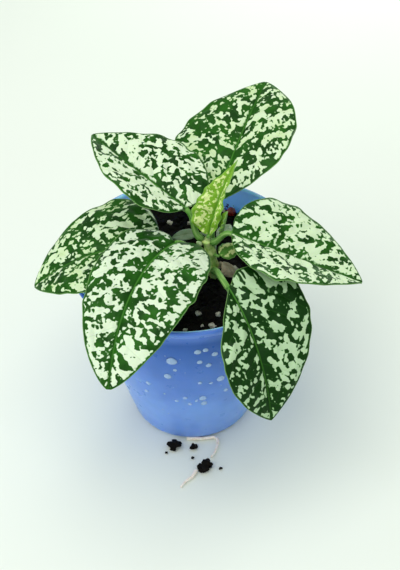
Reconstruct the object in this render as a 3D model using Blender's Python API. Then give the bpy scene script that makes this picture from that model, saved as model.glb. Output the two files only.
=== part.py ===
"""Polka dot plant (Hypoestes) in a tapered blue plastic pot, standing on its base.

Metres, +Z up, the front of the object towards -Y. The origin is the centre of the pot's
underside, so the pot's axis is the Z axis and the object rests on z = 0.
Run with: blender --background --python part.py
"""

from collections import namedtuple
from math import cos, pi, radians, sin, sqrt

import bmesh
import bpy
from mathutils import Matrix, Vector, noise

MM = 0.001

# Pot
POT_HEIGHT = 68.5
RIM_RADIUS = 38.0
BASE_RADIUS = 20.7
WALL = 1.2
BASE_THICKNESS = 1.6
BASE_FILLET = 3.0
RIM_LIP = 0.5
RIM_BAND = 3.0
POT_SIDES = 48
DRAIN_HOLE_RADIUS = 3.0
DRAIN_HOLE_PITCH_RADIUS = 10.5
DRAIN_HOLE_CUT = 6.0
RIM_EDGE = 0.5
RIM_EDGE_INSIDE = 0.3
RIM_STEP = 0.4
INSIDE_CORNER = (1.8, 2.0)
HOLE_SIDES = 16

# Soil
SOIL_TOP = 60.0
SOIL_BUMP = 0.7
SOIL_BUMP_PITCH = 7.0
SOIL_RINGS = (34.0, 29.0, 23.0, 16.0, 8.0)
FIT_GAP = 0.3
LOOSE_GAP = 0.6
SOIL_WALL_GAP = 0.5
SOIL_FOOT = ((2.9, 0.0), (1.1, 2.2))
SOCKET_RADIUS = 2.2
SOCKET_DEPTH = 10.0
SOCKET_MIDDLE = 58.5

# Stem: a point and a radius at the foot, at the soil, at each pair of leaves and at the tip
STEM_POINTS = (
    (8.9, -2.6, 54.0), (8.8, -2.7, 60.0), (8.5, -3.0, 64.5), (7.6, -3.2, 70.5), (6.8, -3.3, 75.6),
)
STEM_RADII = (1.5, 1.5, 1.6, 1.5, 1.3)
STEM_SIDES = 10
STEM_STEPS = 3
NODE_SWELLING = 0.12
NODE_LOW, NODE_MIDDLE, NODE_TOP = STEM_POINTS[2:]

# Leaves
BLADE_THICKNESS = 0.6
BLADE_COLUMNS = 10
ACROSS = (-1.0, -0.68, -0.34, -0.05, 0.05, 0.34, 0.68, 1.0)
RIB_SHARE = 0.1
MIDRIB_REACH = 0.8
STALK_RINGS = 6
STALK_GAP = 0.5
END_TRIM = 0.012

# One leaf. base is where the blade begins, in mm; heading and rise are the direction of the
# midrib there, in degrees, and turn and droop what they change by up to the tip. length and
# the two widths are in mm, left and right being the leaf's own, seen from above. swell_left
# and swell_right set how far out each half is near the base (small is full), taper how it
# closes at the tip. fold lifts both halves from the midrib, curl lays their margins back,
# bank tilts the blade about its midrib and twist adds to that towards the tip. lobe_left and
# lobe_right let the base of each half reach back past the stalk. attach is the stalk's
# start on the stem and stalk its radius.
Leaf = namedtuple(
    "Leaf",
    "name base heading turn rise droop length width_left width_right swell_left swell_right "
    "taper fold curl bank twist lobe_left lobe_right attach stalk color",
)

GREEN = (0.045, 0.16, 0.035)
YOUNG_GREEN = (0.28, 0.50, 0.06)
PALE_GREEN = (0.36, 0.47, 0.32)
BROWN = (0.30, 0.24, 0.17)

LEAVES = (
    Leaf("leaf_back_right", (9.7, 9.9, 79.8), 66, 1, 27, -18, 51.3, 43.0, 38.2, 0.59, 0.92,
         0.87, 12, 7, -9, 0, 0.0, 0.0, NODE_MIDDLE, 1.0, GREEN),
    Leaf("leaf_back_left", (0.6, 0.2, 86.2), 147, -6, 23, -2, 38.4, 33.4, 37.6, 0.56, 0.42,
         0.86, 17, 2, 4, 5, 0.0, 2.9, NODE_TOP, 0.9, GREEN),
    Leaf("leaf_left", (-8.4, -4.4, 74.8), 182, 8, 10, -51, 43.6, 39.0, 42.2, 0.62, 0.35,
         0.83, 14, 8, -4, 8, 0.1, 0.3, NODE_LOW, 1.0, GREEN),
    Leaf("leaf_front_left", (-3.1, -8.1, 79.3), 237, 24, 22, -64, 60.1, 37.5, 29.5, 0.45, 0.35,
         0.71, 12, 10, -8, 9, 6.6, 2.0, NODE_MIDDLE, 1.1, GREEN),
    Leaf("leaf_right", (14.8, -6.6, 80.9), -15, -6, -19, 7, 43.1, 39.2, 37.6, 0.41, 0.55,
         0.85, 16, 3, 0, -12, 1.1, 0.0, NODE_TOP, 0.9, GREEN),
    Leaf("leaf_front_right", (12.6, -26.7, 76.5), -58, -18, -25, -50, 44.2, 41.3, 27.5, 0.38, 1.1,
         0.99, 14, 4, -7, -4, 3.9, 0.0, NODE_LOW, 1.0, GREEN),
    Leaf("leaf_young_folded", (7.4, -3.4, 77.9), 54, -10, 66, -24, 25.4, 10.2, 10.2, 0.35, 0.52,
         0.96, 30, 5, 0, 5, 0.0, 0.6, None, 0.7, YOUNG_GREEN),
    Leaf("leaf_young_small", (11.3, -3.3, 79.2), -10, 30, 74, 0, 7.8, 4.4, 4.4, 0.5, 0.5,
         0.8, 28, 0, 0, 0, 0.0, 0.0, None, 0.5, YOUNG_GREEN),
    Leaf("leaf_small_speckled", (10.6, -5.9, 71.4), 25, 10, 20, -30, 7.2, 7.0, 6.4, 0.5, 0.5,
         0.7, 12, 20, 10, 0, 0.0, 0.0, NODE_MIDDLE, 0.4, YOUNG_GREEN),
    Leaf("leaf_withered", (11.4, -4.4, 66.8), -22, -30, -20, -50, 6.4, 6.2, 5.4, 0.5, 0.5,
         0.6, 20, 40, -15, 20, 0.0, 0.0, NODE_LOW, 0.4, BROWN),
    Leaf("leaf_seed_left", (4.6, 8.6, 68.6), 178, 0, -4, -14, 9.2, 4.6, 4.6, 0.7, 0.7,
         0.7, 10, 10, -10, 0, 0.0, 0.0, (8.8, -2.7, 61.6), 0.45, PALE_GREEN),
    Leaf("leaf_seed_right", (10.4, 6.2, 68.0), 58, 0, 2, -12, 8.6, 4.4, 4.4, 0.7, 0.7,
         0.7, 10, 10, 10, 0, 0.0, 0.0, (8.8, -2.7, 63.6), 0.45, PALE_GREEN),
)

# A bud is a spindle, fullest near its foot
BUD_RINGS, BUD_SIDES = 5, 8
BUD_FULLNESS, BUD_TAPER = 1.1, 0.45
# Side buds: name, foot, heading, rise, length, radius
BUDS = (
    ("bud_left", (5.1, -4.5, 74.6), 205, 50, 2.8, 0.8),
    ("bud_front", (6.9, -4.7, 62.4), 235, 40, 3.0, 0.9),
)

# Chips on the soil, as x, y and radius
PERLITE = (
    (3.0, -22.1, 1.0), (9.3, -22.0, 0.9), (4.2, -26.2, 0.8), (7.3, -26.4, 1.1), (14.7, -19.8, 1.0),
    (-1.2, -27.8, 0.8), (-5.7, 24.2, 1.1), (1.5, 23.7, 0.9), (15.6, -1.4, 1.4), (13.3, 29.8, 0.8),
    (-20.0, 12.0, 1.0), (-14.0, -11.0, 1.0), (25.0, 10.0, 1.1), (-8.0, 2.0, 0.9),
)
PRILL_CENTRE, PRILL_RADIUS = (15.7, 27.9), 1.6

# Perlite chips are a little flattened, and crumbs lie on the floor by their lowest point
CHIP_DEPTH, CHIP_HEIGHT, CHIP_UNEVENNESS = 0.85, 0.7, 0.35
CRUMB_UNEVENNESS, CRUMB_LIFT, CRUMB_SEED, FINE_CRUMB = 0.4, 1.2, 30, 1

# Unevenness of the loose lumps
LUMP_PITCH = 1.3
LUMP_SHIFT = Vector((7.1, 3.3, 0.0))

# Crumbs of soil at the foot of the pot, as x, y, half width, half depth, height
CRUMBS = (
    (-6.7, -24.0, 2.0, 2.2, 2.8), (-0.4, -24.9, 1.3, 1.2, 1.8), (3.6, -33.4, 2.4, 2.5, 2.8),
    (-0.9, -29.4, 0.7, 0.6, 0.9), (8.3, -34.4, 0.8, 0.7, 1.0), (-9.9, -26.6, 0.6, 0.6, 0.8),
)

# Roots lying at the pot's foot, as points in plan. They thin towards their tips.
ROOT_RADIUS = 0.45
ROOT_THINNING = 0.45
ROOTS = {
    "root_loop": ((-2.8, -20.7), (1.8, -21.2), (4.9, -20.9), (6.9, -20.9), (7.9, -22.4), (7.4, -25.4),
                  (6.4, -28.0), (5.3, -29.7)),
    "root_loose": ((0.2, -35.0), (-1.4, -37.8), (-3.4, -39.4), (-5.2, -41.9)),
}
ROOT_SIDES = 6
ROOT_STEPS = 4

# A path that rises less than this over its length counts as lying flat
FLAT_PATH = 5


def clear_scene():
    for obj in list(bpy.data.objects):
        bpy.data.objects.remove(obj, do_unlink=True)


def material(name, color, roughness, metallic=0.0):
    made = bpy.data.materials.new(name)
    made.use_nodes = True
    shader = made.node_tree.nodes["Principled BSDF"]
    shader.inputs["Base Color"].default_value = (*color, 1.0)
    shader.inputs["Roughness"].default_value = roughness
    shader.inputs["Metallic"].default_value = metallic
    made.diffuse_color = (*color, 1.0)
    return made


def finish(bm, name, look, smooth=True):
    """The bmesh, drawn in millimetres, as a named object in metres with one material."""
    bmesh.ops.recalc_face_normals(bm, faces=bm.faces[:])
    bmesh.ops.scale(bm, vec=(MM, MM, MM), verts=bm.verts)
    mesh = bpy.data.meshes.new(name)
    bm.to_mesh(mesh)
    bm.free()
    if smooth:
        mesh.shade_smooth()
        mesh.set_sharp_from_angle(angle=radians(40))
    if look:
        mesh.materials.append(look)
    obj = bpy.data.objects.new(name, mesh)
    bpy.context.scene.collection.objects.link(obj)
    return obj


def as_cutter(obj):
    obj.hide_render = True
    obj.display_type = "WIRE"
    return obj


def combine(obj, other, operation):
    boolean = obj.modifiers.new(operation.title() + " " + other.name, "BOOLEAN")
    boolean.operation = operation
    boolean.solver = "EXACT"
    boolean.object = as_cutter(other)


def lathe(profile, sides):
    """A closed solid turned about Z from a profile of (radius, height) that ends on the axis."""
    bm = bmesh.new()
    verts = [bm.verts.new((r, 0, z)) for r, z in profile]
    edges = [bm.edges.new(pair) for pair in zip(verts, verts[1:])]
    bmesh.ops.spin(bm, geom=verts + edges, cent=(0, 0, 0), axis=(0, 0, 1), angle=2 * pi, steps=sides)
    bmesh.ops.remove_doubles(bm, verts=bm.verts[:], dist=1e-4)
    return bm


def bezier(a, b, c, d, t):
    return a * (1 - t) ** 3 + b * 3 * t * (1 - t) ** 2 + c * 3 * t * t * (1 - t) + d * t ** 3


def smooth_path(points, steps):
    """Points along a curve that runs through each of the given points."""
    ends = [2 * points[0] - points[1], *points, 2 * points[-1] - points[-2]]
    path = []
    for before, a, b, after in zip(ends, ends[1:], ends[2:], ends[3:]):
        for step in range(steps):
            path.append(bezier(a, a + (b - before) / 6, b - (after - a) / 6, b, step / steps))
    return path + [points[-1]]


def loft(rings):
    """A closed skin over rings of points: a grid whose long edges are joined and whose ends are capped."""
    bm = bmesh.new()
    sides, steps = len(rings[0]), len(rings) - 1
    bmesh.ops.create_grid(bm, x_segments=steps, y_segments=sides, size=1.0)
    for vert in bm.verts:
        step = round((vert.co.x + 1) / 2 * steps)
        side = round((vert.co.y + 1) / 2 * sides)
        vert.co = rings[step][side % sides]
    bmesh.ops.remove_doubles(bm, verts=bm.verts[:], dist=1e-5)
    bmesh.ops.holes_fill(bm, edges=[edge for edge in bm.edges if edge.is_boundary], sides=0)
    return bm


def circle(centre, ahead, left, radius, sides):
    """A ring about the direction ahead, from the right over the top to the left and back below."""
    level = (left - ahead * left.dot(ahead)).normalized()
    above = ahead.cross(level)
    turns = [pi - (k + 0.5) * 2 * pi / sides for k in range(sides)]
    return [centre + radius * (level * cos(turn) + above * sin(turn)) for turn in turns]


def aheads(path):
    befores, afters = [path[0], *path[:-1]], [*path[1:], path[-1]]
    return [(after - before).normalized() for before, after in zip(befores, afters)]


def tube(path, radii, sides):
    flat = abs(path[0].z - path[-1].z) < FLAT_PATH
    level = Vector((0, 0, 1)) if flat else Vector((1, 0, 0))
    return loft([circle(*ring, level, radius, sides) for *ring, radius in zip(path, aheads(path), radii)])


def direction(heading, rise):
    a, e = radians(heading), radians(rise)
    return Vector((cos(e) * cos(a), cos(e) * sin(a), sin(e)))


def share(s, swell, taper):
    """The half width at s of the length, as a share of the widest."""
    peak = swell / (swell + taper)
    return (s / peak) ** swell * ((1 - s) / (1 - peak)) ** taper


def midrib(leaf, steps):
    """The points of the midrib from base to tip, with the direction and the two sideways axes at each."""
    point = Vector(leaf.base)
    found = []
    for i in range(steps + 1):
        s = i / steps
        ahead = direction(leaf.heading + leaf.turn * s, leaf.rise + leaf.droop * s)
        yaw = radians(leaf.heading + leaf.turn * s)
        level = Vector((-sin(yaw), cos(yaw), 0))
        above = ahead.cross(level)
        tilt = radians(leaf.bank + leaf.twist * s)
        left, up = level * cos(tilt) + above * sin(tilt), above * cos(tilt) - level * sin(tilt)
        found.append((point.copy(), ahead, left, up))
        half = (i + 0.5) / steps
        heading, rise = leaf.heading + leaf.turn * half, leaf.rise + leaf.droop * half
        point += direction(heading, rise) * leaf.length / steps
    return found


def blade_point(leaf, frame, s, v):
    """The point of the blade at s along the midrib and v across it, -1 on the right and 1 on the left."""
    point, ahead, left, above = frame
    width, swell, lobe = (
        (leaf.width_left, leaf.swell_left, leaf.lobe_left)
        if v > 0
        else (leaf.width_right, leaf.swell_right, leaf.lobe_right)
    )
    inner = END_TRIM + (1 - 2 * END_TRIM) * s
    reach = width / 2 * share(inner, swell, leaf.taper) * abs(v)
    lift = radians(leaf.fold - leaf.curl * abs(v))
    side = 1 if v > 0 else -1
    out = cos(lift) * side * left + sin(lift) * above
    return point + reach * out - lobe * (1 - s) ** 3 * v * v * ahead


def blade_rings(leaf, columns):
    """Sections across the blade: the upper side from right to left, then the under side with its midrib."""
    rings = []
    for i, frame in enumerate(midrib(leaf, columns)):
        s = i / columns
        upper = [blade_point(leaf, frame, s, v) for v in ACROSS]
        under = []
        for v, point in zip(ACROSS, upper):
            rib = max(0.0, leaf.stalk * 1.5 * (1 - s / MIDRIB_REACH)) if abs(v) < RIB_SHARE else 0.0
            under.append(point - frame[3] * (BLADE_THICKNESS * min(1.0, leaf.stalk + 0.2) + rib))
        rings.append(upper + under[::-1])
    return rings


def stalk_rings(leaf):
    """Round sections from the stem to the foot of the blade."""
    base, ahead = Vector(leaf.base), direction(leaf.heading, leaf.rise)
    foot = base - ahead * 0.5 - midrib(leaf, 1)[0][3] * leaf.stalk * 0.6
    if leaf.attach:
        node = Vector(leaf.attach)
        out = Vector((base.x - node.x, base.y - node.y, 0)).normalized()
        leave = (out + Vector((0, 0, 0.7))).normalized()
        start = node + out * (STEM_RADII[2] + STALK_GAP + leaf.stalk * leave.z)
        pull = (foot - start).length / 3
        path = [bezier(start, start + leave * pull, foot - ahead * pull, foot, i / STALK_RINGS)
                for i in range(STALK_RINGS + 1)]
    else:
        path = [foot - ahead * 0.8, foot]
    left = midrib(leaf, 1)[0][2]
    last = len(path) - 1
    return [circle(point, way, left, leaf.stalk * (1.12 - 0.2 * i / last), 2 * len(ACROSS))
            for i, (point, way) in enumerate(zip(path, aheads(path)))]


def build_leaf(leaf):
    columns = BLADE_COLUMNS if leaf.length > 12 else BLADE_COLUMNS // 2
    rings = stalk_rings(leaf) + blade_rings(leaf, columns)
    finish(loft(rings), leaf.name, material(leaf.name + "_surface", leaf.color, 0.5))


def wall_radius(height):
    return BASE_RADIUS + (RIM_RADIUS - RIM_LIP - BASE_RADIUS) * height / POT_HEIGHT


def inner_radius(height):
    return wall_radius(height) - WALL


def build_pot():
    fillet = [
        (wall_radius(0) - BASE_FILLET * (1 - sin(turn)), BASE_FILLET * (1 - cos(turn)))
        for turn in (0, pi / 6, pi / 3, pi / 2)
    ]
    fillet[-1] = (wall_radius(BASE_FILLET), BASE_FILLET)
    band = POT_HEIGHT - RIM_BAND
    corner_width, corner_height = INSIDE_CORNER
    profile = [
        (0, 0),
        *fillet,
        (wall_radius(band), band),
        (wall_radius(band) + RIM_LIP, band + RIM_STEP),
        (RIM_RADIUS, POT_HEIGHT - RIM_EDGE),
        (RIM_RADIUS - RIM_EDGE, POT_HEIGHT),
        (inner_radius(POT_HEIGHT) + RIM_EDGE_INSIDE, POT_HEIGHT),
        (inner_radius(POT_HEIGHT), POT_HEIGHT - RIM_STEP),
        (inner_radius(SOIL_TOP / 2), SOIL_TOP / 2),
        (inner_radius(BASE_THICKNESS + corner_height), BASE_THICKNESS + corner_height),
        (inner_radius(BASE_THICKNESS) - corner_width, BASE_THICKNESS),
        (0, BASE_THICKNESS),
    ]
    pot = finish(lathe(profile, POT_SIDES), "pot", material("blue_plastic", (0.06, 0.22, 0.55), 0.3))
    cutter = bmesh.new()
    for i in range(4):
        hole = bmesh.ops.create_cone(cutter, cap_ends=True, segments=HOLE_SIDES, radius1=DRAIN_HOLE_RADIUS,
                                     radius2=DRAIN_HOLE_RADIUS, depth=DRAIN_HOLE_CUT)
        turned = Matrix.Rotation(pi / 4 + i * pi / 2, 4, "Z")
        shift = turned @ Matrix.Translation((DRAIN_HOLE_PITCH_RADIUS, 0, 0))
        bmesh.ops.transform(cutter, matrix=shift, verts=hole["verts"])
    combine(pot, finish(cutter, "drain_cutter", None, smooth=False), "DIFFERENCE")


def soil_height(x, y):
    bump = noise.noise(Vector((x, y, 3.0)) / SOIL_BUMP_PITCH)
    return SOIL_TOP + SOIL_BUMP * 2 * bump


def build_soil():
    low = BASE_THICKNESS + FIT_GAP
    profile = [
        (0, low),
        *((inner_radius(low + up) - inward, low + up) for inward, up in SOIL_FOOT),
        *((inner_radius(z) - SOIL_WALL_GAP, z) for z in (SOIL_TOP / 2, SOIL_TOP)),
        *((r, SOIL_TOP) for r in SOIL_RINGS),
        (0, SOIL_TOP),
    ]
    bm = lathe(profile, POT_SIDES)
    for vert in bm.verts:
        if vert.co.z > SOIL_TOP - FIT_GAP:
            vert.co.z = soil_height(vert.co.x, vert.co.y)
    soil = finish(bm, "soil", material("potting_soil", (0.012, 0.010, 0.008), 0.95))
    socket = bmesh.new()
    bmesh.ops.create_cone(socket, cap_ends=True, segments=HOLE_SIDES, radius1=SOCKET_RADIUS,
                          radius2=SOCKET_RADIUS, depth=SOCKET_DEPTH)
    bmesh.ops.translate(socket, vec=(*STEM_POINTS[1][:2], SOCKET_MIDDLE), verts=socket.verts)
    combine(soil, finish(socket, "stem_socket_cutter", None, smooth=False), "DIFFERENCE")


def build_stem():
    path = smooth_path([Vector(p) for p in STEM_POINTS], STEM_STEPS)
    radii = []
    for i in range(len(path)):
        part, along = divmod(i, STEM_STEPS)
        ahead = STEM_RADII[min(part + 1, len(STEM_RADII) - 1)]
        swelling = NODE_SWELLING if along == 0 and part > 1 else 0.0
        radii.append(STEM_RADII[part] + (ahead - STEM_RADII[part]) * along / STEM_STEPS + swelling)
    finish(tube(path, radii, STEM_SIDES), "stem", material("stem_green", (0.06, 0.19, 0.03), 0.55))


def build_bud(name, foot, heading, rise, length, radius, look):
    profile = [(0, 0)]
    for k in range(1, BUD_RINGS):
        along = k / BUD_RINGS
        fullness = BUD_FULLNESS - BUD_TAPER * along
        profile.append((radius * sqrt(sin(pi * along)) * fullness, length * along))
    profile.append((0, length))
    bm = lathe(profile, BUD_SIDES)
    turned = direction(heading, rise).to_track_quat("Z", "Y").to_matrix().to_4x4()
    bmesh.ops.transform(bm, matrix=Matrix.Translation(foot) @ turned, verts=bm.verts)
    finish(bm, name, look)


def build_lump(name, centre, half, unevenness, seed, look, level=1):
    """A rounded, uneven lump: a ball of triangles with its points pushed in and out."""
    bm = bmesh.new()
    bmesh.ops.create_icosphere(bm, subdivisions=level, radius=1.0)
    for vert in bm.verts:
        push = 1 + unevenness * noise.noise(vert.co * LUMP_PITCH + seed * LUMP_SHIFT)
        vert.co = Vector(centre) + Vector([a * b * push for a, b in zip(vert.co, half)])
    finish(bm, name, look)


def build_loose_pieces():
    perlite = material("perlite_white", (0.62, 0.60, 0.54), 0.9)
    for i, (x, y, radius) in enumerate(PERLITE, 1):
        centre = (x, y, soil_height(x, y) + LOOSE_GAP + radius)
        half = (radius, radius * CHIP_DEPTH, radius * CHIP_HEIGHT)
        build_lump("perlite_%02d" % i, centre, half, CHIP_UNEVENNESS, i, perlite)
    x, y = PRILL_CENTRE
    red = material("prill_red", (0.16, 0.006, 0.006), 0.35)
    centre = (x, y, soil_height(x, y) + LOOSE_GAP + PRILL_RADIUS)
    build_lump("prill", centre, [PRILL_RADIUS] * 3, 0.0, 0, red, level=2)
    soil_look = material("loose_soil", (0.014, 0.011, 0.009), 0.95)
    for i, (x, y, wide, deep, high) in enumerate(CRUMBS, 1):
        half = (wide, deep, high / 2)
        centre = (x, y, high / 2 * CRUMB_LIFT)
        level = 2 if wide > FINE_CRUMB else 1
        build_lump("crumb_%d" % i, centre, half, CRUMB_UNEVENNESS, CRUMB_SEED + i, soil_look, level)
    root = material("root_white", (0.72, 0.62, 0.52), 0.6)
    for name, points in ROOTS.items():
        path = smooth_path([Vector((x, y, ROOT_RADIUS)) for x, y in points], ROOT_STEPS)
        radii = [ROOT_RADIUS * (1 - ROOT_THINNING * i / len(path)) for i in range(len(path))]
        finish(tube(path, radii, ROOT_SIDES), name, root)


def main():
    clear_scene()
    build_pot()
    build_soil()
    build_stem()
    for leaf in LEAVES:
        build_leaf(leaf)
    bud_look = material("bud_pale_green", (0.42, 0.52, 0.30), 0.6)
    for bud in BUDS:
        build_bud(*bud, bud_look)
    build_loose_pieces()


main()
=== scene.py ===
"""Looks of a polka dot plant in a blue nursery pot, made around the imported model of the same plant."""

from collections import namedtuple
from functools import partial
from math import cos, exp, floor, pi, radians, sin, sqrt
from random import Random

import bmesh
import bpy
from bpy.props import FloatProperty, FloatVectorProperty, IntProperty, PointerProperty
from mathutils import Matrix, Quaternion, Vector, noise


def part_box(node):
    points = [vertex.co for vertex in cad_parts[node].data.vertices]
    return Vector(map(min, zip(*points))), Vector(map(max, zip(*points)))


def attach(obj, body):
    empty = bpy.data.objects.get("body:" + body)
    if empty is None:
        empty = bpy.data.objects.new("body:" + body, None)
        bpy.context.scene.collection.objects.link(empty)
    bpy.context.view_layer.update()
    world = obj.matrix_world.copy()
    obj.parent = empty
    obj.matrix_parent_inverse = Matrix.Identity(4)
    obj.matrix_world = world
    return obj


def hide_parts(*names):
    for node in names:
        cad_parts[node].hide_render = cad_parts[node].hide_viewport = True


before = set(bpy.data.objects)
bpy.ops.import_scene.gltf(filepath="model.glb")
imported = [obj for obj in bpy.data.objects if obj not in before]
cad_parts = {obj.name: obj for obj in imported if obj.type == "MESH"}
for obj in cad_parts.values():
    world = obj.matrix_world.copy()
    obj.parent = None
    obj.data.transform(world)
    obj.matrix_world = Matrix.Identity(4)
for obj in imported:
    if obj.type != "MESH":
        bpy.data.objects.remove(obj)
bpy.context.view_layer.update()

bl_info = {
    "name": "Potted polka dot plant",
    "version": (1, 0, 0),
    "blender": (4, 5, 0),
    "location": "View3D > Sidebar > Plant",
    "description": "Builds a splashed house plant in a nursery pot, its soil, droplets and studio",
    "category": "Object",
}

MM = 0.001


def linear(code):
    """The linear red, green and blue of an sRGB hex value."""
    parts = [int(code[i:i + 2], 16) / 255 for i in (1, 3, 5)]
    return tuple(c / 12.92 if c <= 0.04045 else ((c + 0.055) / 1.055) ** 2.4 for c in parts)


# ---- the plant's own measures

STEM_POINTS = ((8.9, -2.6, 54.0), (8.8, -2.7, 60.0), (8.5, -3.0, 64.5), (7.6, -3.2, 70.5), (6.8, -3.3, 75.6))
STEM_RADII = (1.5, 1.5, 1.6, 1.5, 1.3)
NODE_LOW, NODE_MIDDLE, NODE_TOP = STEM_POINTS[2:]
# Feet of the two seed leaves' stalks, on the stem below its first pair of leaves
SEED_LEFT, SEED_RIGHT = (8.8, -2.7, 61.6), (8.8, -2.7, 63.6)
STALK_GAP = 0.5

# One leaf, in millimetres and degrees. base is where the blade begins; heading and rise are the
# midrib's direction there, turn and droop what they change by up to the tip. left and right are the
# leaf's own, seen from above. swell and taper shape the outline, fold lifts both halves, curl lays
# the margins back, bank and twist tilt the blade, and a lobe reaches back past the stalk. attach is the
# stalk's foot on the stem, stalk its radius, look the leaf's material and pairs its pairs of side veins.
# ripple waves the margin and pucker the blade, in mm.
Leaf = namedtuple(
    "Leaf",
    "name base heading turn rise droop length width_left width_right swell_left swell_right "
    "taper fold curl bank twist lobe_left lobe_right attach stalk look pairs ripple pucker",
)

LEAVES = (
    Leaf("leaf_back_right", (9.7, 9.9, 79.8), 66, 1, 27, -18, 51.3, 43.0, 38.2, 0.59, 0.92,
         0.87, 12, 7, -9, 0, 0, 0, NODE_MIDDLE, 1.0, "back_right", 8, 0.4, 1.2),
    Leaf("leaf_back_left", (0.6, 0.2, 86.2), 147, -6, 23, -2, 38.4, 33.4, 37.6, 0.56, 0.42,
         0.86, 17, 2, 4, 5, 0, 2.9, NODE_TOP, 0.9, "back_left", 7, 0.4, 1.2),
    Leaf("leaf_left", (-8.4, -4.4, 74.8), 182, 8, 10, -51, 43.6, 39.0, 42.2, 0.62, 0.35,
         0.83, 14, 8, -4, 8, 0.1, 0.3, NODE_LOW, 1.0, "left", 7, 0.4, 1.2),
    Leaf("leaf_front_left", (-3.1, -8.1, 79.3), 237, 24, 22, -64, 60.1, 37.5, 29.5, 0.45, 0.35,
         0.71, 12, 10, -8, 9, 6.6, 2.0, NODE_MIDDLE, 1.1, "front_left", 8, 0.55, 1.6),
    Leaf("leaf_right", (14.8, -6.6, 80.9), -15, -6, -19, 7, 43.1, 39.2, 37.6, 0.41, 0.55,
         0.85, 16, 3, 0, -12, 1.1, 0, NODE_TOP, 0.9, "right", 7, 0.4, 1.2),
    Leaf("leaf_front_right", (12.6, -26.7, 76.5), -58, -18, -25, -50, 44.2, 41.3, 27.5, 0.38, 1.1,
         0.99, 14, 4, -7, -4, 3.9, 0, NODE_LOW, 1.0, "front_right", 7, 0.45, 1.3),
)

YOUNG_LEAVES = (
    Leaf("leaf_young_folded", (7.4, -3.4, 77.9), 54, -10, 66, -24, 25.4, 12.6, 8.2, 0.52, 0.6,
         1.3, 38, 5, 0, 5, 0, 0.6, None, 0.7, "young", 9, 1.1, 2.6),
    Leaf("leaf_young_small", (11.3, -3.3, 79.2), -10, 30, 74, 0, 7.8, 4.4, 4.4, 0.5, 0.5,
         0.8, 28, 0, 0, 0, 0, 0, None, 0.5, "young", 6, 0.75, 2.6),
    Leaf("leaf_small_speckled", (10.6, -5.9, 71.4), 25, 10, 20, -30, 7.2, 7.0, 6.4, 0.5, 0.5,
         0.7, 12, 20, 10, 0, 0, 0, NODE_MIDDLE, 0.4, "small", 5, 0.3, 1.5),
    Leaf("leaf_withered", (11.4, -4.4, 66.8), -22, -30, -20, -50, 6.4, 6.2, 5.4, 0.5, 0.5,
         0.6, 20, 40, -15, 20, 0, 0, NODE_LOW, 0.4, "withered", 5, 0.5, 1.5),
    Leaf("leaf_seed_left", (4.6, 8.6, 68.6), 178, 0, -4, -14, 9.2, 4.6, 4.6, 0.7, 0.7,
         0.7, 10, 10, -10, 0, 0, 0, SEED_LEFT, 0.45, "seed", 4, 0.1, 0.5),
    Leaf("leaf_seed_right", (10.4, 6.2, 68.0), 58, 0, 2, -12, 8.6, 4.4, 4.4, 0.7, 0.7,
         0.7, 10, 10, 10, 0, 0, 0, SEED_RIGHT, 0.45, "seed", 4, 0.1, 0.5),
)

# Side buds: name, foot, heading, rise, length, radius
BUDS = (
    ("bud_left", (5.1, -4.5, 74.6), 205, 50, 2.8, 0.8),
    ("bud_front", (6.9, -4.7, 62.4), 235, 40, 3.0, 0.9),
)

# Where each root runs over the floor
ROOTS = {
    "root_loop": ((-2.8, -20.7), (1.8, -21.2), (4.9, -20.9), (6.9, -20.9), (7.9, -22.4), (7.4, -25.4),
                  (6.4, -28.0), (5.3, -29.7)),
    "root_loose": ((0.2, -35.0), (-1.4, -37.8), (-3.4, -39.4), (-5.2, -41.9)),
}

# Drops on the front of the pot, as bearing in degrees, height and radius
MAIN_DROPS = (
    (-100, 52.2, 1.7), (-104, 42.5, 1.2), (-72, 38.9, 1.3), (-83, 28.5, 1.2), (-82, 25.0, 1.0),
    (-86, 57.4, 1.1), (-82, 58.0, 0.9), (-77, 54.8, 1.0), (-85, 51.3, 0.9), (-80, 48.7, 0.9),
    (-119, 34.6, 0.8), (-123, 28.5, 0.7), (-95, 29.1, 0.7), (-101, 26.8, 0.6), (-92, 25.1, 0.7),
    (-85, 38.4, 0.7), (-78, 37.3, 0.6), (-67, 30.2, 0.8),
)


class PlantSettings(bpy.types.PropertyGroup):
    """Sizes and colours of the plant and its pot."""

    pot_height: FloatProperty(
        name="Pot height", description="Height of the pot", default=68.5 * MM, unit="LENGTH"
    )
    rim_radius: FloatProperty(
        name="Rim radius", description="Outer radius of the rim", default=38.0 * MM, unit="LENGTH"
    )
    base_radius: FloatProperty(
        name="Base radius", description="Radius of the wall at the floor", default=20.7 * MM, unit="LENGTH"
    )
    wall: FloatProperty(
        name="Wall", description="Thickness of the pot's wall", default=1.2 * MM, unit="LENGTH"
    )
    soil_top: FloatProperty(
        name="Soil level", description="Height of the soil above the floor", default=60.0 * MM, unit="LENGTH"
    )
    blade: FloatProperty(
        name="Blade", description="Thickness of a leaf blade", default=0.45 * MM, unit="LENGTH"
    )
    vein_depth: FloatProperty(
        name="Vein depth", description="How deep the side veins sink", default=0.45 * MM, unit="LENGTH"
    )
    small_drops: IntProperty(
        name="Small drops", description="Number of small drops all round the pot", default=90, min=0
    )
    grit: IntProperty(
        name="Grit", description="Number of loose grains on the soil", default=900, min=0
    )
    leaf_green: FloatVectorProperty(
        name="Leaf green", description="Ground of the leaves", subtype="COLOR", default=linear("#0A3A00")
    )
    leaf_white: FloatVectorProperty(
        name="Leaf white", description="Splashes on the leaves", subtype="COLOR", default=linear("#CFE3C2")
    )
    pot_blue: FloatVectorProperty(
        name="Pot blue", description="Plastic of the pot", subtype="COLOR", default=linear("#7CA6FF")
    )
    floor_white: FloatVectorProperty(
        name="Floor", description="Studio floor", subtype="COLOR", default=linear("#EAF1EA")
    )


def settings():
    return bpy.context.scene.plant


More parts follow.
